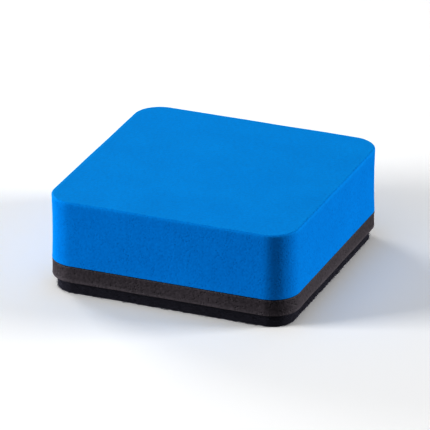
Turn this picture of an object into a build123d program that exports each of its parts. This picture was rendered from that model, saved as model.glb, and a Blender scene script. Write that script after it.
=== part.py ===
from build123d import *
import os

# A small square chalkboard eraser: a foam grip block, a thin foam carrier layer that holds
# a disc magnet, and a felt wiping pad, bonded into one stack by two films of glue.
# Millimetres, +Z up. The origin is the middle of the felt's wiping face, so the eraser
# stands on Z = 0, felt down. X and Y run along the sides of the square.

# Driving dimensions
SIDE = 50.0  # both foam layers are cut to one square
HEIGHT = 19.2  # wiping face to grip top
CORNER_RADIUS = 5.5  # upright corners of the foam layers
CARRIER_THICKNESS = 3.3
FELT_THICKNESS = 2.5
FELT_INSET = 1.0  # the felt stands back from the foam's edge all round
FILM_THICKNESS = 0.1  # each film of glue
FILM_INSET = 0.3  # glue stops short of the edge of what it bonds
MAGNET_DIAMETER = 18.0
MAGNET_THICKNESS = 3.0
MAGNET_CLEARANCE = 0.2  # all round, in the hole punched through the carrier
MAGNET_EDGE = 0.3  # broken edges of the pressed ferrite disc
TOP_EDGE_RADIUS = 0.45  # the cutting die rolls the grip's top edge over a little
CARRIER_EDGE_RADIUS = 0.2  # the carrier's free lower edge

# Levels, from the wiping face upwards
CARRIER_BASE = FELT_THICKNESS + FILM_THICKNESS
CARRIER_TOP = CARRIER_BASE + CARRIER_THICKNESS
BLOCK_BASE = CARRIER_TOP + FILM_THICKNESS

# Outlines worked out from the foam's square
FELT_SIDE = SIDE - 2 * FELT_INSET
FELT_RADIUS = CORNER_RADIUS - FELT_INSET
FELT_FILM_SIDE = FELT_SIDE - 2 * FILM_INSET
FELT_FILM_RADIUS = FELT_RADIUS - FILM_INSET
BLOCK_FILM_SIDE = SIDE - 2 * FILM_INSET
BLOCK_FILM_RADIUS = CORNER_RADIUS - FILM_INSET

os.makedirs("parts", exist_ok=True)

# Felt pad: needled felt, cut square with round corners, the face that wipes the board
with BuildPart() as felt_pad:
    with BuildSketch(Plane.XY):
        RectangleRounded(FELT_SIDE, FELT_SIDE, FELT_RADIUS)
    extrude(amount=FELT_THICKNESS)

felt_pad.part.label = "felt_pad"
export_step(felt_pad.part, "parts/felt_pad.step")

# Felt glue film: bonds the felt to the carrier and the magnet above it
with BuildPart() as felt_glue_film:
    with BuildSketch(Plane.XY.offset(FELT_THICKNESS)):
        RectangleRounded(FELT_FILM_SIDE, FELT_FILM_SIDE, FELT_FILM_RADIUS)
    extrude(amount=FILM_THICKNESS)

felt_glue_film.part.label = "felt_glue_film"
export_step(felt_glue_film.part, "parts/felt_glue_film.step")

# Carrier layer: foam sheet with a round hole punched through the middle for the magnet
with BuildPart() as carrier_layer:
    with BuildSketch(Plane.XY.offset(CARRIER_BASE)):
        RectangleRounded(SIDE, SIDE, CORNER_RADIUS)
    extrude(amount=CARRIER_THICKNESS)
    fillet(carrier_layer.faces().sort_by(Axis.Z)[0].edges(), CARRIER_EDGE_RADIUS)
    with BuildSketch(Plane.XY.offset(CARRIER_BASE)):
        Circle(MAGNET_DIAMETER / 2 + MAGNET_CLEARANCE)
    extrude(amount=CARRIER_THICKNESS, mode=Mode.SUBTRACT)

carrier_layer.part.label = "carrier_layer"
export_step(carrier_layer.part, "parts/carrier_layer.step")

# Magnet: pressed ferrite disc, bedded in the glue behind the felt
with BuildPart() as magnet:
    with BuildSketch(Plane.XY.offset(CARRIER_BASE)):
        Circle(MAGNET_DIAMETER / 2)
    extrude(amount=MAGNET_THICKNESS)
    chamfer(magnet.edges().filter_by(GeomType.CIRCLE), MAGNET_EDGE)

magnet.part.label = "magnet"
export_step(magnet.part, "parts/magnet.step")

# Block glue film: bonds the grip block to the carrier
with BuildPart() as block_glue_film:
    with BuildSketch(Plane.XY.offset(CARRIER_TOP)):
        RectangleRounded(BLOCK_FILM_SIDE, BLOCK_FILM_SIDE, BLOCK_FILM_RADIUS)
    extrude(amount=FILM_THICKNESS)

block_glue_film.part.label = "block_glue_film"
export_step(block_glue_film.part, "parts/block_glue_film.step")

# Grip block: thick closed-cell foam, the part that the fingers hold
with BuildPart() as grip_block:
    with BuildSketch(Plane.XY.offset(BLOCK_BASE)):
        RectangleRounded(SIDE, SIDE, CORNER_RADIUS)
    extrude(amount=HEIGHT - BLOCK_BASE)
    fillet(grip_block.faces().sort_by(Axis.Z)[-1].edges(), TOP_EDGE_RADIUS)

grip_block.part.label = "grip_block"
export_step(grip_block.part, "parts/grip_block.step")
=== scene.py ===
import math

import bpy
import numpy as np
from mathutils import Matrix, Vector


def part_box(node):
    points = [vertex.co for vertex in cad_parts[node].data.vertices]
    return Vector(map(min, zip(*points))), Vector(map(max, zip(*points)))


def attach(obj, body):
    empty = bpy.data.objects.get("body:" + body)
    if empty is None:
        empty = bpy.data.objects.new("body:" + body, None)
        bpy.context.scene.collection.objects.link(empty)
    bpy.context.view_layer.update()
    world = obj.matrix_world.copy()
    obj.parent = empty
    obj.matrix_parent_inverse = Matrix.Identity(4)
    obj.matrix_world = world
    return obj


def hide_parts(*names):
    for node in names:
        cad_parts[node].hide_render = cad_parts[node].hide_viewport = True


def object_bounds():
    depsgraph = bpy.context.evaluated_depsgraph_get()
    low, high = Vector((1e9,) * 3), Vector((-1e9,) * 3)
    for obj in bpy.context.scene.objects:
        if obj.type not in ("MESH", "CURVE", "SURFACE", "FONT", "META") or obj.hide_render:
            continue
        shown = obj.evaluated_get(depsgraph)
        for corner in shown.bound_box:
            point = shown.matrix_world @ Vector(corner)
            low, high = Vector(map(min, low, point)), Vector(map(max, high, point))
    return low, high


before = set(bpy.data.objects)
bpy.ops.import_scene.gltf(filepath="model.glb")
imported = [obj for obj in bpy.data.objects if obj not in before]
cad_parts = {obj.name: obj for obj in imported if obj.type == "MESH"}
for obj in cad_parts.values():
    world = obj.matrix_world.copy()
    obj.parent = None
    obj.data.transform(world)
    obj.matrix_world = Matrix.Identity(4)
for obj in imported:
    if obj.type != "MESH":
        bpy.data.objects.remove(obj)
cad_low, cad_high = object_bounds()


# ---------------------------------------------------------------------------------------------
# Grip block. A thick square of closed-cell EVA foam sheet, the part that the fingers hold.
# It is cut from the sheet by a steel-rule die: the press squeezes the foam, the edge that meets
# the blade first rolls over a little, and the walls spring back slightly hollow.
# ---------------------------------------------------------------------------------------------
MM = 0.001
OUTLINE_POINTS = 640  # round each layer of the eraser
CORNER_RADIUS = 5.5 * MM

block_low, block_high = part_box("grip_block")
block_side = block_high.x - block_low.x
BLOCK_TOP_ROLL = 0.4 * MM
BLOCK_BASE_ROLL = 0.12 * MM
BLOCK_HOLLOW = 0.12 * MM  # how far the walls draw in at mid height
BLOCK_SWELL = 0.02 * MM  # long soft unevenness of the walls
BLOCK_SWELL_LENGTH = 14 * MM
BLOCK_DRAG = 0.003 * MM  # faint upright marks that the blade drags down the walls
DRAG_SPACING = 1.1 * MM
DRAG_FADE = 3 * BLOCK_BASE_ROLL  # above the base, the marks and the swell fade in over this
BLOCK_SAG = 0.035 * MM  # long soft unevenness of the sheet's skin
BLOCK_SAG_LENGTH = 17 * MM
INWARD = 1.5  # added to an unevenness of about 1 either way, so that nearly all of it sinks in
BLOCK_WEAR_AND_HIGHLIGHT = 0.9 * MM  # how far the paler edge, partly wear and partly a painted highlight, reaches from the top edge

BLOCK_UNDER_ROWS = 10  # rows of points, from the middle of the underside to that of the top
BLOCK_WALL_ROWS = 30
BLOCK_TOP_ROWS = 62


def rounded_square(side, radius, count):
    """Points and outward directions, evenly spaced anticlockwise round a square with arc corners.

    The distance walked is split into four alike quarters. A quarter is an arc about the corner's
    centre and then a straight run, and it is turned by its own number of right angles.
    """
    run = side - 2 * radius
    arc = radius * math.pi / 2
    walked = np.arange(count) / count * 4 * (run + arc)
    quarter, along = np.divmod(walked, run + arc)
    angle = np.minimum(along, arc) / radius
    past = np.maximum(along - arc, 0)
    turn = 1j**quarter
    outward = np.exp(1j * angle)
    point = (run / 2 * (1 + 1j) + radius * outward - past) * turn
    outward = outward * turn
    return np.stack([point.real, point.imag], 1), np.stack([outward.real, outward.imag], 1)


def layer_rings(side, radius, profile, hole_radius=0.0):
    """Rings of points, one for each row of the profile, which holds inset, share and height.

    A ring is the layer's outline, moved in along its normals by the inset, then drawn towards the
    rim of a round hole in the middle, and raised to the height. Each point is the mean of the
    outline's point and the rim's point in the same direction, weighted by the share: 1 is on the
    outline and 0 on the rim, or in the middle where there is no hole.
    """
    outline, outward = rounded_square(side, radius, OUTLINE_POINTS)
    rim = hole_radius * outline / np.linalg.norm(outline, axis=1, keepdims=True)
    inset, share, height = profile.T[:, :, None, None]
    flat = (outline - inset * outward) * share + rim * (1 - share)
    level = np.broadcast_to(height, (*flat.shape[:2], 1))
    return np.concatenate([flat, level], 2)


def rounded_edge(radius, steps, from_angle, to_angle, inset, height):
    """Profile rows along an arc. Its middle lies a radius in from the inset, at the height."""
    angle = np.radians(np.linspace(from_angle, to_angle, steps))
    rows = np.ones((steps, 3))
    rows[:, 0] = inset + radius - radius * np.cos(angle)
    rows[:, 2] = height + radius * np.sin(angle)
    return rows


def flat_rows(inset, shares, height):
    """Profile rows across a flat face, at one inset and height, shrunk to each share in turn."""
    rows = np.ones((len(shares), 3))
    rows[:, 0] = inset
    rows[:, 1] = shares
    rows[:, 2] = height
    return rows


def wall_rows(low, high, steps, hollow):
    """Profile rows up a wall that draws in as a parabola, by the hollow at its mid height."""
    climb = np.linspace(0, 1, steps)
    rows = np.ones((steps, 3))
    rows[:, 0] = hollow * 4 * climb * (1 - climb)
    rows[:, 2] = low + (high - low) * climb
    return rows


def unevenness(points, wavelength, waves, seed):
    """Smooth random relief of about unit height, one value for each point.

    It is the sum of sine waves of random direction and phase, each 0.7 to 1.4 times as fine as
    the wavelength says, divided by the square root of half their number.
    """
    draw = np.random.default_rng(seed)
    heading = draw.normal(size=(waves, 3))
    heading /= np.linalg.norm(heading, axis=1, keepdims=True)
    finer = draw.uniform(0.7, 1.4, (waves, 1))
    phase = draw.uniform(0, 2 * math.pi, waves)
    turns = points @ (heading * finer * 2 * math.pi / wavelength).T + phase
    return np.sin(turns).sum(-1) / math.sqrt(waves / 2)


def cut_marks(points, drag, swell, swell_length, seeds):
    """How far each point of a die-cut wall sinks in: the drag marks, whose relief is squeezed in
    height so that they run up and down, plus a swell of the given length."""
    marks = unevenness(points * (1, 1, 0.04), DRAG_SPACING, waves=24, seed=seeds[0])
    waves = unevenness(points, swell_length, waves=12, seed=seeds[1])
    return drag * (INWARD + marks) + swell * (INWARD + waves)


def ring_faces(rows, count, looped):
    """Quads between neighbouring rings. If looped, the last ring is joined to the first too."""
    row = np.arange(rows if looped else rows - 1)[:, None]
    column = np.arange(count)[None]
    beside = (column + 1) % count
    lower, upper = row * count, (row + 1) % rows * count
    corners = np.broadcast_arrays(lower + column, lower + beside, upper + beside, upper + column)
    return np.stack(corners, -1).reshape(-1, 4)


def new_piece(name, points, faces):
    """A smooth-shaded piece made of the points and faces, put into the scene at the origin."""
    mesh = bpy.data.meshes.new(name)
    mesh.from_pydata(points.tolist(), [], faces)
    mesh.shade_smooth()
    piece = bpy.data.objects.new(name, mesh)
    bpy.context.scene.collection.objects.link(piece)
    return piece


def ring_piece(name, rings, looped=False):
    """A closed piece on the rings. Unless looped, a fan to a middle point shuts each end."""
    rows, count, _ = rings.shape
    points = rings.reshape(-1, 3)
    faces = ring_faces(rows, count, looped).tolist()
    if not looped:
        first, last = len(points), len(points) + 1
        points = np.concatenate([points, rings[:1].mean(1), rings[-1:].mean(1)])
        here = np.arange(count)
        beside = (here + 1) % count
        last_ring = (rows - 1) * count
        faces += np.stack([beside, here, np.full(count, first)], 1).tolist()
        faces += np.stack([here + last_ring, beside + last_ring, np.full(count, last)], 1).tolist()
    return new_piece(name, points, faces)


def mark_rows(piece, name, shares):
    """Stores a share from 0 to 1 on every point of a piece made of rings, one for each ring."""
    values = np.zeros(len(piece.data.vertices), np.float32)
    values[: len(shares) * OUTLINE_POINTS] = np.repeat(shares, OUTLINE_POINTS)
    piece.data.attributes.new(name, "FLOAT", "POINT").data.foreach_set("value", values)


def near_edge(profile, side, height, reach):
    """Each row's nearness to the layer's outer edge at that height: 1 on it, 0 at the reach."""
    across = profile[:, 0] + (1 - profile[:, 1]) * side / 2
    return np.clip(1 - np.hypot(across, profile[:, 2] - height) / reach, 0, 1)


def linear(hex_colour, alpha=1.0):
    """An sRGB hex colour as linear red, green, blue and alpha."""
    parts = [int(hex_colour[i : i + 2], 16) / 255 for i in (1, 3, 5)]
    return [p / 12.92 if p <= 0.04045 else ((p + 0.055) / 1.055) ** 2.4 for p in parts] + [alpha]


def add(tree, kind, inputs=(), **settings):
    """Adds one node. Settings are its own options; inputs give sockets a value or a link."""
    node = tree.nodes.new(kind)
    for option, value in settings.items():
        setattr(node, option, value)
    for socket, value in dict(inputs).items():
        if isinstance(value, bpy.types.NodeSocket):
            tree.links.new(value, node.inputs[socket])
        else:
            node.inputs[socket].default_value = value
    return node


def new_material(name):
    """An empty material with its Principled shader, wired to the output."""
    material = bpy.data.materials.new(name)
    material.use_nodes = True
    tree = material.node_tree
    tree.nodes.clear()
    shader = add(tree, "ShaderNodeBsdfPrincipled")
    add(tree, "ShaderNodeOutputMaterial", {"Surface": shader.outputs["BSDF"]})
    return material, tree, shader


MIX_A, MIX_B, MIX_RESULT = 6, 7, 2  # the colour sockets of a Mix node, which share their names

FOAM_DRIFT = 9 * MM  # size of the patches in which the pigment runs deeper or paler
GRAIN_PER_CELL = 0.9
TEARS_PER_CELL = 0.25
CUP_FLOOR, CUP_RIM = 0.10, 0.45  # distances from a cell's middle, in cells, of its floor and rim
WHOLE_CUT, TORN_CUT = 0.3, 0.8  # depth of the cups where the blade cut cleanly, and where it tore
SKIN_CUT = 0.5  # depth of the cups on the sheet's faces, against 1 on the cut walls
ROUGHNESS_SPREAD = 0.06


def eva_foam(name, deep, pale, cup_shade_colour, wear_highlight_colour, cell, relief, roughness, sheen):
    """Closed-cell EVA foam, sliced from a bun and die-cut: a dull face of tiny cells, sliced open,
    deeper on the cut walls and painted darker inside as painted shade, and edges painted paler,
    partly wear and partly painted light. Returns the material and its shader."""
    material, tree, shader = new_material(name)
    place = add(tree, "ShaderNodeTexCoord").outputs["Object"]
    wall = add(tree, "ShaderNodeAttribute", attribute_name="cut_wall").outputs["Fac"]
    edge = add(tree, "ShaderNodeAttribute", attribute_name="edge_wear_and_highlight").outputs["Fac"]

    # Colour drifts a little over the sheet, and the cell walls take the pigment unevenly.
    drift = add(
        tree, "ShaderNodeTexNoise", {"Vector": place, "Scale": 1 / FOAM_DRIFT, "Detail": 3.0}
    )
    grain = add(
        tree, "ShaderNodeTexNoise", {"Vector": place, "Scale": GRAIN_PER_CELL / cell, "Detail": 4.0}
    )
    both = add(
        tree,
        "ShaderNodeMath",
        {0: drift.outputs["Fac"], 1: 0.5, 2: grain.outputs["Fac"]},
        operation="MULTIPLY_ADD",
    )
    spread = add(
        tree, "ShaderNodeMapRange", {"Value": both.outputs[0], "From Min": 0.5, "From Max": 1.0}
    )
    tone = add(
        tree,
        "ShaderNodeMix",
        {"Factor": spread.outputs[0], MIX_A: linear(deep), MIX_B: linear(pale)},
        data_type="RGBA",
    )

    # Open cells: the middle of each Voronoi cell is a cup, painted darker as painted shade inside
    # it. Where the blade tore, they are deeper, and so darker.
    cells = add(tree, "ShaderNodeTexVoronoi", {"Vector": place, "Scale": 1 / cell})
    cup = add(
        tree,
        "ShaderNodeMapRange",
        {
            "Value": cells.outputs["Distance"],
            "From Min": CUP_FLOOR,
            "From Max": CUP_RIM,
            "To Min": 1.0,
            "To Max": 0.0,
        },
    )
    patches = add(
        tree, "ShaderNodeTexNoise", {"Vector": place, "Scale": TEARS_PER_CELL / cell, "Detail": 2.0}
    )
    torn = add(
        tree,
        "ShaderNodeMapRange",
        {
            "Value": patches.outputs["Fac"],
            "From Min": 0.40,
            "From Max": 0.65,
            "To Min": WHOLE_CUT,
            "To Max": TORN_CUT,
        },
    )
    opened = add(tree, "ShaderNodeMapRange", {"Value": wall, "To Min": SKIN_CUT, "To Max": 1.0})
    depth = add(
        tree, "ShaderNodeMath", {0: torn.outputs[0], 1: opened.outputs[0]}, operation="MULTIPLY"
    )
    pits = add(
        tree, "ShaderNodeMath", {0: cup.outputs[0], 1: depth.outputs[0]}, operation="MULTIPLY"
    )
    cup_shaded_tone = add(
        tree,
        "ShaderNodeMix",
        {"Factor": pits.outputs[0], MIX_A: tone.outputs[MIX_RESULT], MIX_B: linear(cup_shade_colour)},
        data_type="RGBA",
    )
    # Painted paler along the marked edge: partly wear and partly painted light, a highlight on the
    # block's top edge and light from below on the carrier's lower rim.
    wear_highlight_share = add(tree, "ShaderNodeMath", {0: edge, 1: grain.outputs["Fac"]}, operation="MULTIPLY")
    colour = add(
        tree,
        "ShaderNodeMix",
        {"Factor": wear_highlight_share.outputs[0], MIX_A: cup_shaded_tone.outputs[MIX_RESULT], MIX_B: linear(wear_highlight_colour)},
        data_type="RGBA",
    )
    tree.links.new(colour.outputs[MIX_RESULT], shader.inputs["Base Color"])

    # Relief in metres: the cups sink below a face that is itself finely grained.
    skin = add(
        tree,
        "ShaderNodeMath",
        {0: pits.outputs[0], 1: -1.0, 2: grain.outputs["Fac"]},
        operation="MULTIPLY_ADD",
    )
    bump = add(
        tree, "ShaderNodeBump", {"Height": skin.outputs[0], "Strength": 1.0, "Distance": relief}
    )
    tree.links.new(bump.outputs["Normal"], shader.inputs["Normal"])

    dull = add(
        tree,
        "ShaderNodeMapRange",
        {
            "Value": grain.outputs["Fac"],
            "From Min": 0.3,
            "From Max": 0.7,
            "To Min": roughness - ROUGHNESS_SPREAD,
            "To Max": roughness + ROUGHNESS_SPREAD,
        },
    )
    tree.links.new(dull.outputs[0], shader.inputs["Roughness"])
    shader.inputs["Sheen Weight"].default_value = sheen
    shader.inputs["Sheen Roughness"].default_value = 0.4
    return material, shader


block_wall_low = block_low.z + BLOCK_BASE_ROLL
block_wall_high = block_high.z - BLOCK_TOP_ROLL
block_profile = np.concatenate(
    [
        flat_rows(BLOCK_BASE_ROLL, np.linspace(0.05, 0.99, BLOCK_UNDER_ROWS), block_low.z),
        rounded_edge(BLOCK_BASE_ROLL, 4, -90, -10, 0, block_wall_low),
        wall_rows(block_wall_low, block_wall_high, BLOCK_WALL_ROWS, BLOCK_HOLLOW),
        rounded_edge(BLOCK_TOP_ROLL, 7, 10, 90, 0, block_wall_high),
        flat_rows(BLOCK_TOP_ROLL, np.linspace(0.99, 0.02, BLOCK_TOP_ROWS), block_high.z),
    ]
)
block_rings = layer_rings(block_side, CORNER_RADIUS, block_profile)
outward = rounded_square(block_side, CORNER_RADIUS, OUTLINE_POINTS)[1]  # for every layer's walls
on_wall = np.clip((block_rings[..., 2] - block_low.z) / DRAG_FADE, 0, 1)
on_wall *= block_profile[:, 1, None] == 1
block_marks = cut_marks(block_rings, BLOCK_DRAG, BLOCK_SWELL, BLOCK_SWELL_LENGTH, seeds=(11, 12))
block_rings[..., :2] -= (on_wall * block_marks)[..., None] * outward
on_top = np.clip((block_rings[..., 2] - block_wall_high) / BLOCK_TOP_ROLL, 0, 1)
top_swell = unevenness(block_rings, BLOCK_SAG_LENGTH, waves=16, seed=13)
block_rings[..., 2] -= on_top * BLOCK_SAG * (1.0 + 0.5 * top_swell)
grip_block = ring_piece("blue_foam_grip_block", block_rings)
# The block's top edge is painted paler: partly wear, partly a painted highlight.
block_edge = near_edge(block_profile, block_side, block_high.z, BLOCK_WEAR_AND_HIGHLIGHT)
mark_rows(grip_block, "cut_wall", block_profile[:, 1] == 1)
mark_rows(grip_block, "edge_wear_and_highlight", block_edge)

# Blue foam: an even, strongly coloured, dull face, with a soft cyan bloom where light grazes it.
# Real cells are about 0.15 mm across. They are drawn three times that, or they would not show.
BLUE_CELL = 0.45 * MM
blue_foam, blue_shader = eva_foam(
    "die_cut_blue_eva_foam",
    deep="#007AC8",
    pale="#0085D6",
    cup_shade_colour="#006EB8",
    wear_highlight_colour="#0C8FDA",
    cell=BLUE_CELL,
    relief=0.04 * MM,
    roughness=0.84,
    sheen=0.28,
)
blue_shader.inputs["Sheen Tint"].default_value = linear("#00DCFF")
blue_shader.inputs["Specular IOR Level"].default_value = 0.12
blue_shader.inputs["Specular Tint"].default_value = linear("#00DCFF")
grip_block.data.materials.append(blue_foam)
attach(grip_block, "root")
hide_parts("grip_block")


# ---------------------------------------------------------------------------------------------
# Glue films. A thin even coat of contact adhesive between the grip block and the carrier, and
# another between the carrier and the felt. It is brushed on both faces and stops just short of
# the edges. It dries to honey-coloured streaks, some glossy and some dull.
# ---------------------------------------------------------------------------------------------
GLUE_STREAK = 3 * MM
GLUE_RELIEF = 0.05 * MM
glue, glue_tree, glue_shader = new_material("dried_contact_adhesive")
glue_place = add(glue_tree, "ShaderNodeTexCoord").outputs["Object"]
glue_streaks = add(
    glue_tree, "ShaderNodeTexNoise", {"Vector": glue_place, "Scale": 1 / GLUE_STREAK, "Detail": 5.0}
)
glue_colour = add(
    glue_tree,
    "ShaderNodeMix",
    {"Factor": glue_streaks.outputs["Fac"], MIX_A: linear("#8F7F5C"), MIX_B: linear("#C9BB95")},
    data_type="RGBA",
)
glue_tree.links.new(glue_colour.outputs[MIX_RESULT], glue_shader.inputs["Base Color"])
glue_gloss = add(
    glue_tree,
    "ShaderNodeMapRange",
    {"Value": glue_streaks.outputs["Fac"], "To Min": 0.15, "To Max": 0.45},
)
glue_tree.links.new(glue_gloss.outputs[0], glue_shader.inputs["Roughness"])
glue_bump = add(
    glue_tree, "ShaderNodeBump", {"Height": glue_streaks.outputs["Fac"], "Distance": GLUE_RELIEF}
)
glue_tree.links.new(glue_bump.outputs["Normal"], glue_shader.inputs["Normal"])
for film in ("block_glue_film", "felt_glue_film"):
    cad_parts[film].data.materials.clear()
    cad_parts[film].data.materials.append(glue)


# ---------------------------------------------------------------------------------------------
# Carrier layer. A thin charcoal EVA foam sheet, cut with the same die as the grip block and
# punched through the middle for the magnet. Its lower rim shows as a narrow ledge round the felt.
# ---------------------------------------------------------------------------------------------
carrier_low, carrier_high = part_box("carrier_layer")
carrier_side = carrier_high.x - carrier_low.x
PUNCH_RADIUS = 9.2 * MM
CARRIER_ROLL = 0.22 * MM
CARRIER_HOLLOW = 0.06 * MM
CARRIER_SWELL = 0.02 * MM
CARRIER_SWELL_LENGTH = 9 * MM
CARRIER_DRAG = 0.004 * MM
CARRIER_WEAR_AND_HIGHLIGHT = 0.8 * MM  # how far the paler edge, partly wear and partly painted light from below, reaches from the lower edge

CARRIER_WALL_ROWS = 14
CARRIER_TOP_ROWS = 12
PUNCH_ROWS = 9
CARRIER_UNDER_ROWS = 18

carrier_wall_low = carrier_low.z + CARRIER_ROLL
carrier_wall_high = carrier_high.z - CARRIER_ROLL
punch_rows = flat_rows(0, np.zeros(PUNCH_ROWS), 0)
punch_rows[:, 2] = np.linspace(carrier_high.z, carrier_low.z, PUNCH_ROWS)
under_shares = 1 - np.linspace(0.95, 0.1, CARRIER_UNDER_ROWS) ** 1.6  # closer towards the rim
carrier_profile = np.concatenate(
    [
        rounded_edge(CARRIER_ROLL, 5, -90, -8, 0, carrier_wall_low),
        wall_rows(carrier_wall_low, carrier_wall_high, CARRIER_WALL_ROWS, CARRIER_HOLLOW),
        rounded_edge(CARRIER_ROLL, 5, 8, 90, 0, carrier_wall_high),
        flat_rows(CARRIER_ROLL, np.linspace(0.98, 0.05, CARRIER_TOP_ROWS), carrier_high.z),
        punch_rows,
        flat_rows(CARRIER_ROLL, under_shares, carrier_low.z),
    ]
)
carrier_rings = layer_rings(carrier_side, CORNER_RADIUS, carrier_profile, PUNCH_RADIUS)
on_rim = carrier_profile[:, 1, None] == 1
carrier_marks = cut_marks(
    carrier_rings, CARRIER_DRAG, CARRIER_SWELL, CARRIER_SWELL_LENGTH, seeds=(21, 22)
)
carrier_rings[..., :2] -= (on_rim * carrier_marks)[..., None] * outward
carrier = ring_piece("charcoal_foam_carrier", carrier_rings, looped=True)
# The lower rim is painted paler: partly wear, partly painted light as if thrown up from the floor.
carrier_edge = near_edge(carrier_profile, carrier_side, carrier_low.z, CARRIER_WEAR_AND_HIGHLIGHT)
mark_rows(carrier, "cut_wall", carrier_profile[:, 1] == 1)
mark_rows(carrier, "edge_wear_and_highlight", carrier_edge)

# Charcoal foam: a cheaper, more open foam, so its pores show as dark specks, painted shade in the
# cups, on a warm dark grey.
# Its cells too are drawn about three times their real size.
CHARCOAL_CELL = 0.5 * MM
charcoal_foam, charcoal_shader = eva_foam(
    "die_cut_charcoal_eva_foam",
    deep="#2F2A30",
    pale="#4A444A",
    cup_shade_colour="#1E1B1F",
    wear_highlight_colour="#645E64",
    cell=CHARCOAL_CELL,
    relief=0.09 * MM,
    roughness=0.62,
    sheen=0.12,
)
charcoal_shader.inputs["Sheen Tint"].default_value = linear("#D8CCD0")
charcoal_shader.inputs["Specular IOR Level"].default_value = 0.35
carrier.data.materials.append(charcoal_foam)
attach(carrier, "root")
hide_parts("carrier_layer")


# ---------------------------------------------------------------------------------------------
# Magnet. A pressed and sintered ferrite disc, which gives a dull dark grey with a faint grain.
# It lies in the carrier's punched hole, bedded in the felt's glue.
# ---------------------------------------------------------------------------------------------
FERRITE_GRAIN = 0.3 * MM  # real grains are far too fine to show, so they are drawn this coarse
FERRITE_RELIEF = 0.03 * MM
ferrite, ferrite_tree, ferrite_shader = new_material("sintered_ferrite")
ferrite_place = add(ferrite_tree, "ShaderNodeTexCoord").outputs["Object"]
ferrite_grain = add(
    ferrite_tree,
    "ShaderNodeTexNoise",
    {"Vector": ferrite_place, "Scale": 1 / FERRITE_GRAIN, "Detail": 6.0},
)
ferrite_colour = add(
    ferrite_tree,
    "ShaderNodeMix",
    {"Factor": ferrite_grain.outputs["Fac"], MIX_A: linear("#2E2F31"), MIX_B: linear("#4B4C4F")},
    data_type="RGBA",
)
ferrite_tree.links.new(ferrite_colour.outputs[MIX_RESULT], ferrite_shader.inputs["Base Color"])
ferrite_shader.inputs["Roughness"].default_value = 0.5
ferrite_bump = add(
    ferrite_tree,
    "ShaderNodeBump",
    {"Height": ferrite_grain.outputs["Fac"], "Distance": FERRITE_RELIEF},
)
ferrite_tree.links.new(ferrite_bump.outputs["Normal"], ferrite_shader.inputs["Normal"])
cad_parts["magnet"].data.materials.clear()
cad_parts["magnet"].data.materials.append(ferrite)


# ---------------------------------------------------------------------------------------------
# Felt pad. Dense needled polyester felt, the wiping side. It is cut a millimetre smaller than
# the foam all round, so its own wall sits back in shadow; the wall is lumpy and sheds fibres.
# ---------------------------------------------------------------------------------------------
felt_low, felt_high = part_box("felt_pad")
felt_side = felt_high.x - felt_low.x
FELT_CORNER = 4.5 * MM
FELT_ROLL = 0.25 * MM
FELT_HOLLOW = 0.05 * MM
FELT_TOP_GAP = 0.1 * MM  # the wall stops this far short of the top, which leaves a small bevel
FELT_TOP_INSET = 0.15 * MM
FELT_TUFT = 1.7 * MM  # size of the small lumps
FELT_WAVE = 4.5 * MM  # size of the broad lumps
FELT_LUMP = 0.014 * MM  # height of the lumps on the cut wall
FELT_INWARD = 1.4  # as INWARD, for the lumps
FACE_SET = 0.05 * MM  # the matted face lies this far behind the fibres that touch the board
FACE_LUMP = 0.006 * MM  # height of the lumps on the face, held to twice this
FELT_FACE_ROWS = 56
FELT_WALL_ROWS = 10
FELT_TOP_ROWS = 8

felt_wall_low = felt_low.z + FELT_ROLL * 1.3
felt_profile = np.concatenate(
    [
        flat_rows(FELT_ROLL, np.linspace(0.03, 0.985, FELT_FACE_ROWS), felt_low.z),
        rounded_edge(FELT_ROLL, 6, -90, 0, 0, felt_low.z + FELT_ROLL),
        wall_rows(felt_wall_low, felt_high.z - FELT_TOP_GAP, FELT_WALL_ROWS, FELT_HOLLOW),
        flat_rows(FELT_TOP_INSET, np.linspace(0.99, 0.05, FELT_TOP_ROWS), felt_high.z),
    ]
)
felt_rings = layer_rings(felt_side, FELT_CORNER, felt_profile)
felt_wall = felt_profile[:, 1, None] == 1
felt_lumps = unevenness(felt_rings, FELT_TUFT, waves=40, seed=31)
felt_lumps += 0.6 * unevenness(felt_rings, FELT_WAVE, waves=16, seed=32)
felt_rings[..., :2] -= (felt_wall * FELT_LUMP * (FELT_INWARD + felt_lumps))[..., None] * outward
felt_face = np.clip(1 - (felt_rings[..., 2] - felt_low.z) / FELT_ROLL, 0, 1)
felt_rings[..., 2] += felt_face * (FACE_SET + FACE_LUMP * np.clip(felt_lumps, -2, 2))
felt = ring_piece("felt_wiping_pad", felt_rings)
mark_rows(felt, "cut_wall", felt_profile[:, 1] == 1)

# Real fibres are 0.03 mm thick. They are drawn as 0.2 mm bundles, or they would not show.
FIBRE_BUNDLE = 0.2 * MM
FIBRE_LENGTH = 2.2 * MM
FIBRE_TURNS = ((0.1, 0.2, 0.4), (-0.2, 0.1, 1.5), (0.2, -0.15, 2.5))  # one for each set of fibres
MAT_LUMP = 1.2 * MM
FELT_RELIEF = 0.12 * MM


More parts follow.
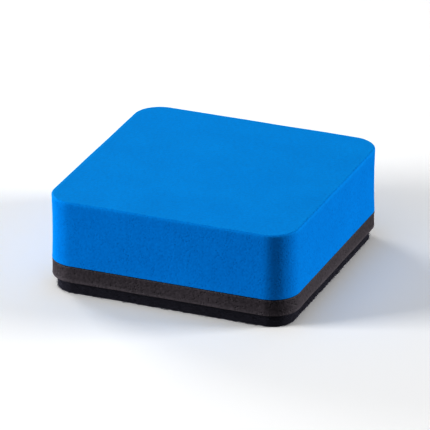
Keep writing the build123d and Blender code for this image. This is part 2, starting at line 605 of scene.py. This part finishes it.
def needled_felt(name, deep, pale, ends):
    """Dense needled felt: short fibres lying every way, matted into soft lumps, so it looks dull
    and finely mottled. On the cut wall only the fibres' ends show, in one darker tone, which also
    paints in the shade that the carrier's ledge throws on the wall.

    Three sets of noise, each drawn out along its own direction, stand for the fibres.
    """
    material, tree, shader = new_material(name)
    place = add(tree, "ShaderNodeTexCoord").outputs["Object"]
    per_metre = (1 / FIBRE_LENGTH, 1 / FIBRE_BUNDLE, 1 / FIBRE_BUNDLE)
    height = 0.0
    for turn in FIBRE_TURNS:
        turned = add(
            tree, "ShaderNodeMapping", {"Vector": place, "Rotation": turn, "Scale": per_metre}
        )
        strands = add(
            tree,
            "ShaderNodeTexNoise",
            {"Vector": turned.outputs[0], "Scale": 1.0, "Detail": 2.0, "Distortion": 0.6},
        )
        highest = add(
            tree, "ShaderNodeMath", {0: height, 1: strands.outputs["Fac"]}, operation="MAXIMUM"
        )
        height = highest.outputs[0]
    mat_lumps = add(
        tree, "ShaderNodeTexNoise", {"Vector": place, "Scale": 1 / MAT_LUMP, "Detail": 3.0}
    )
    relief = add(
        tree,
        "ShaderNodeMath",
        {0: mat_lumps.outputs["Fac"], 1: 0.8, 2: height},
        operation="MULTIPLY_ADD",
    )
    share = add(
        tree, "ShaderNodeMapRange", {"Value": relief.outputs[0], "From Min": 0.75, "From Max": 1.2}
    )
    face = add(
        tree,
        "ShaderNodeMix",
        {"Factor": share.outputs[0], MIX_A: linear(deep), MIX_B: linear(pale)},
        data_type="RGBA",
    )
    wall = add(tree, "ShaderNodeAttribute", attribute_name="cut_wall").outputs["Fac"]
    # The cut wall takes the darker tone: partly the fibres' ends, partly painted shade under the
    # carrier's ledge.
    colour = add(
        tree,
        "ShaderNodeMix",
        {"Factor": wall, MIX_A: face.outputs[MIX_RESULT], MIX_B: linear(ends)},
        data_type="RGBA",
    )
    tree.links.new(colour.outputs[MIX_RESULT], shader.inputs["Base Color"])
    bump = add(
        tree,
        "ShaderNodeBump",
        {"Height": relief.outputs[0], "Strength": 1.0, "Distance": FELT_RELIEF},
    )
    tree.links.new(bump.outputs["Normal"], shader.inputs["Normal"])
    shader.inputs["Roughness"].default_value = 0.95
    shader.inputs["Specular IOR Level"].default_value = 0.15
    shader.inputs["Sheen Weight"].default_value = 0.2
    shader.inputs["Sheen Roughness"].default_value = 0.6
    shader.inputs["Sheen Tint"].default_value = linear("#A8AEC8")
    return material


felt_cloth = needled_felt("needled_charcoal_felt", deep="#292931", pale="#383842", ends="#26242B")
felt.data.materials.append(felt_cloth)
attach(felt, "root")
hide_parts("felt_pad")


# Loose fibres of the felt: short curved hairs that stand out of the cut wall and its lower edge.
# They are real geometry, because they break up the felt's outline.
FIBRE_COUNT = 5600
FIBRE_STEPS = 6
FIBRE_SIDES = 3
FIBRE_RADIUS = 0.016 * MM
ROOT_LINE_POINTS = 4096
ROOT_DEPTH = 0.08 * MM  # how far inside the felt's outline they are rooted
REACH_SHAPE, REACH_SCALE = 2.2, 0.08 * MM  # of the gamma spread of how far they stand out
REACH_LEAST, REACH_MOST = 0.05 * MM, 0.4 * MM
LEAVING, COMING_BACK = 1.6, 0.9  # times the reach: outwards at the root, then back at the tip
SIDEWAYS = 0.7 * MM
LIFT = 0.22 * MM
CURL = 0.4 * MM
TIP_CLEARANCE = 0.05 * MM  # from the board


def fibre_piece(name, roots, headings, bends, radius):
    """One piece of many hairs. A hair is the curve root + t * heading + t squared * bend, with t
    from 0 to 1, inside a three-sided tube that narrows almost to a point at both ends."""
    t = np.linspace(0, 1, FIBRE_STEPS)[None, :, None]
    line = roots[:, None] + t * headings[:, None] + t**2 * bends[:, None]
    along = headings[:, None] + 2 * t * bends[:, None]
    along /= np.linalg.norm(along, axis=2, keepdims=True)
    side = np.cross(along, (0.31, 0.52, 0.80))
    side /= np.linalg.norm(side, axis=2, keepdims=True)
    other = np.cross(along, side)
    thick = radius * (1.05 - (2 * t - 1) ** 4)
    turn = 2 * math.pi * np.arange(FIBRE_SIDES) / FIBRE_SIDES
    round_it = np.cos(turn)[:, None] * side[:, :, None] + np.sin(turn)[:, None] * other[:, :, None]
    points = line[:, :, None] + thick[:, :, None] * round_it
    each = FIBRE_STEPS * FIBRE_SIDES
    tube = ring_faces(FIBRE_STEPS, FIBRE_SIDES, looped=False)
    start = np.arange(len(roots))[:, None, None] * each
    end = np.arange(FIBRE_SIDES)
    faces = (start + tube[None]).reshape(-1, 4).tolist()
    faces += (start + end[::-1]).reshape(-1, FIBRE_SIDES).tolist()
    faces += (start + each - FIBRE_SIDES + end).reshape(-1, FIBRE_SIDES).tolist()
    return new_piece(name, points.reshape(-1, 3), faces)


draw = np.random.default_rng(41)
root_side = felt_side - 2 * ROOT_DEPTH
root_line, root_outward = rounded_square(root_side, FELT_CORNER, ROOT_LINE_POINTS)
spot = draw.integers(0, ROOT_LINE_POINTS, FIBRE_COUNT)
climb = draw.uniform(0.02, 0.97, FIBRE_COUNT) ** 1.15  # a little denser towards the lower edge
root_level = felt_low.z + (felt_high.z - felt_low.z) * climb
roots = np.column_stack([root_line[spot], root_level])
out = np.column_stack([root_outward[spot], np.zeros(FIBRE_COUNT)])
beside = np.cross((0, 0, 1), out)
reach = draw.gamma(REACH_SHAPE, REACH_SCALE, FIBRE_COUNT).clip(REACH_LEAST, REACH_MOST)[:, None]
sideways = draw.normal(0, SIDEWAYS, FIBRE_COUNT)[:, None]
lift = draw.normal(0, LIFT, FIBRE_COUNT)[:, None]
headings = out * reach * LEAVING + beside * sideways + (0, 0, 1) * lift
bends = -out * reach * COMING_BACK + beside * draw.normal(0, CURL, FIBRE_COUNT)[:, None]
tip_level = roots[:, 2] + headings[:, 2] + bends[:, 2]
headings[:, 2] += np.clip(tip_level, felt_low.z + TIP_CLEARANCE, felt_high.z) - tip_level
fuzz = fibre_piece("felt_loose_fibres", roots, headings, bends, FIBRE_RADIUS)
fuzz.data.materials.append(felt_cloth)
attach(fuzz, "root")

# Fibres of the wiping face: long hairs that lie flat, every way, half sunk in the mat.
FACE_FIBRE_COUNT = 5600
FACE_FIBRE_LENGTH = 2.8 * MM
FACE_FIBRE_RADIUS = 0.022 * MM
FACE_FIBRE_LOW, FACE_FIBRE_HIGH = 0.042 * MM, 0.06 * MM  # levels above the board
FACE_FIBRE_BOW = 0.35
FACE_MARGIN = 2.6 * MM  # keeps them clear of the felt's rounded corners
face_reach = felt_side / 2 - FACE_MARGIN
face_roots = np.column_stack(
    [
        draw.uniform(-face_reach, face_reach, (FACE_FIBRE_COUNT, 2)),
        felt_low.z + draw.uniform(FACE_FIBRE_LOW, FACE_FIBRE_HIGH, FACE_FIBRE_COUNT),
    ]
)
way = draw.uniform(0, 2 * math.pi, FACE_FIBRE_COUNT)
length = FACE_FIBRE_LENGTH * draw.uniform(0.5, 1.0, FACE_FIBRE_COUNT)
along = np.stack([np.cos(way), np.sin(way), np.zeros(FACE_FIBRE_COUNT)], 1) * length[:, None]
across = np.cross((0, 0, 1), along) * draw.normal(0, FACE_FIBRE_BOW, FACE_FIBRE_COUNT)[:, None]
face_roots -= (along + across) / 2
matted = fibre_piece("felt_face_fibres", face_roots, along, across, FACE_FIBRE_RADIUS)
matted.data.materials.append(felt_cloth)
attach(matted, "root")


# ---------------------------------------------------------------------------------------------
# Studio. A pale floor, broad soft lamps from the left, the right, above and behind, and the
# camera, nearly a metre away, looking down a little from the front and the right.
# ---------------------------------------------------------------------------------------------
FLOOR_SIDE = 6.0
floor_mesh = bpy.data.meshes.new("studio_floor")
half = FLOOR_SIDE / 2
floor_corners = [(-half, -half, 0), (half, -half, 0), (half, half, 0), (-half, half, 0)]
floor_mesh.from_pydata(floor_corners, [], [(0, 1, 2, 3)])
floor = bpy.data.objects.new("studio_floor", floor_mesh)
floor.location.z = cad_low.z
bpy.context.scene.collection.objects.link(floor)

# Matt white paper: it takes soft shadows and shows no reflection.
paper, _, paper_shader = new_material("white_background_paper")
paper_shader.inputs["Base Color"].default_value = linear("#FAFAFA")
paper_shader.inputs["Roughness"].default_value = 0.9
paper_shader.inputs["Specular IOR Level"].default_value = 0.1
floor_mesh.materials.append(paper)
floor.visible_diffuse = False  # it throws no light back up at the eraser's walls
floor.visible_glossy = False

centre = (cad_low + cad_high) / 2


def bearing(turn, rise):
    """The direction out from the object at a turn from its front, towards its right, and a rise."""
    turn, rise = math.radians(turn), math.radians(rise)
    return np.array(
        [math.sin(turn) * math.cos(rise), -math.cos(turn) * math.cos(rise), math.sin(rise)]
    )


def aim(thing, turn, rise, distance, target):
    """Places a lamp or camera at that bearing and distance from the target, facing it."""
    away = bearing(turn, rise)
    thing.location = np.array(target) + away * distance
    facing = type(target)(-away)
    thing.rotation_euler = facing.to_track_quat("-Z", "Y").to_euler()


def softbox(name, turn, rise, distance, size, watts):
    """A square soft lamp that faces the object."""
    lamp = bpy.data.lights.new(name, "AREA")
    lamp.shape = "SQUARE"
    lamp.size = size
    lamp.energy = watts
    light = bpy.data.objects.new(name, lamp)
    bpy.context.scene.collection.objects.link(light)
    aim(light, turn, rise, distance, centre)


softbox("left_softbox", turn=-57, rise=15, distance=0.8, size=0.3, watts=6.0)
softbox("left_rim_softbox", turn=-120, rise=14, distance=0.8, size=0.3, watts=2.8)
softbox("right_softbox", turn=111, rise=14, distance=0.8, size=0.3, watts=5.1)
softbox("top_softbox", turn=-15, rise=68, distance=0.4, size=0.3, watts=0.14)
softbox("back_softbox", turn=175, rise=10, distance=0.9, size=0.5, watts=0.5)

sky = bpy.data.worlds.new("studio_air")
sky.use_nodes = True
sky.node_tree.nodes["Background"].inputs["Color"].default_value = linear("#FFFFFF")
sky.node_tree.nodes["Background"].inputs["Strength"].default_value = 0.14
bpy.context.scene.world = sky

camera_data = bpy.data.cameras.new("studio_camera")
camera_data.sensor_width = 36.0
camera_data.lens = 420.0
camera_data.clip_start = 0.05
camera_data.clip_end = 20.0
camera = bpy.data.objects.new("studio_camera", camera_data)
bpy.context.scene.collection.objects.link(camera)
aim(camera, turn=22.1, rise=24.1, distance=0.96, target=centre)
bpy.context.scene.camera = camera
bpy.context.scene.view_settings.view_transform = "Standard"
bpy.context.scene.view_settings.look = "High Contrast"
